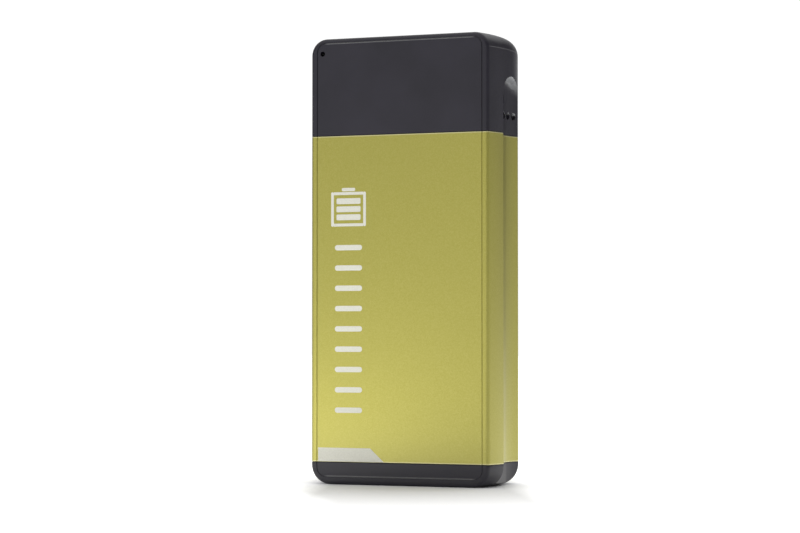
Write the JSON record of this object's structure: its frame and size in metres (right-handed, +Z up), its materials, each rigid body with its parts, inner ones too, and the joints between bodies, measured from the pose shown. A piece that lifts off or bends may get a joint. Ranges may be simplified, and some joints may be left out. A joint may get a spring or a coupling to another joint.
{
  "type": "power bank",
  "caption": "Slim two-cell power bank with an aluminium sleeve, moulded end caps, a flip-out charging plug, an output socket and a push-to-check charge gauge.",
  "frame": {"origin": "middle of the base, where the bottom cap stands on a table", "axes": "+Z up along the length, +X to the right of someone facing the front, which looks towards -Y"},
  "size_m": [0.0496, 0.0218, 0.108],
  "materials": {
    "black_plastic": "moulded charcoal plastic, fine satin texture",
    "anodised_aluminium": "bead-blasted aluminium, anodised olive yellow",
    "steel": "nickel-plated steel sheet",
    "contacts": "gold-plated contact strip",
    "white_plastic": "white engineering plastic",
    "grey_plastic": "grey moulded carrier plastic",
    "smoky_lens": "smoke-tinted clear plastic",
    "cell_wrap": "blue heat-shrink wrap",
    "circuit_board": "green solder mask",
    "chip": "black epoxy package",
    "ferrite": "sintered ferrite",
    "nickel": "nickel strip",
    "foam": "closed-cell foam",
    "red_lead": "red silicone insulation",
    "black_lead": "black silicone insulation"
  },
  "bodies": {
    "case": {"sleeve": "anodised_aluminium", "bottom_cap": "black_plastic", "top_cap": "black_plastic", "cell_left": "cell_wrap", "cell_right": "cell_wrap", "cell_wedge": "grey_plastic", "foam_pad": "foam", "carrier_bottom": "grey_plastic", "nickel_strip_bottom": "nickel", "carrier_top": "grey_plastic", "nickel_strip_top": "nickel", "insulator_sheet": "white_plastic", "main_board": "circuit_board", "charge_chip": "chip", "boost_chip": "chip", "protection_chip": "chip", "inductor": "ferrite", "capacitor_input": "nickel", "capacitor_output": "nickel", "lead_positive": "red_lead", "lead_negative": "black_lead", "socket_shell": "steel", "socket_tongue": "white_plastic", "side_board": "circuit_board", "light_guide": "smoky_lens", "switch_body": "steel", "hinge_pin": "steel", "detent_spring": "steel", "socket_contact_1": "contacts", "socket_contact_2": "contacts", "socket_contact_3": "contacts", "socket_contact_4": "contacts", "gauge_led_1": "white_plastic", "gauge_led_2": "white_plastic", "gauge_led_3": "white_plastic", "gauge_led_4": "white_plastic"},
    "plug": {"plug_arm": "black_plastic", "plug_shell": "steel", "plug_tongue": "white_plastic", "plug_contact_1": "contacts", "plug_contact_2": "contacts", "plug_contact_3": "contacts", "plug_contact_4": "contacts"},
    "button": {"status_button": "black_plastic", "switch_plunger": "white_plastic"}
  },
  "joints": [
    {"name": "plug_flip", "type": "hinge", "parent": "case", "child": "plug", "pos_m": [-0.01988, 0, 0.1043], "axis": [0, 1, 0], "range_deg": [0, 180]},
    {"name": "button_press", "type": "slide", "parent": "case", "child": "button", "axis": [-1, 0, 0], "range_m": [0, 0.0003], "stiffness_N_per_m": 4000, "springref_m": -0.0001}
  ]
}
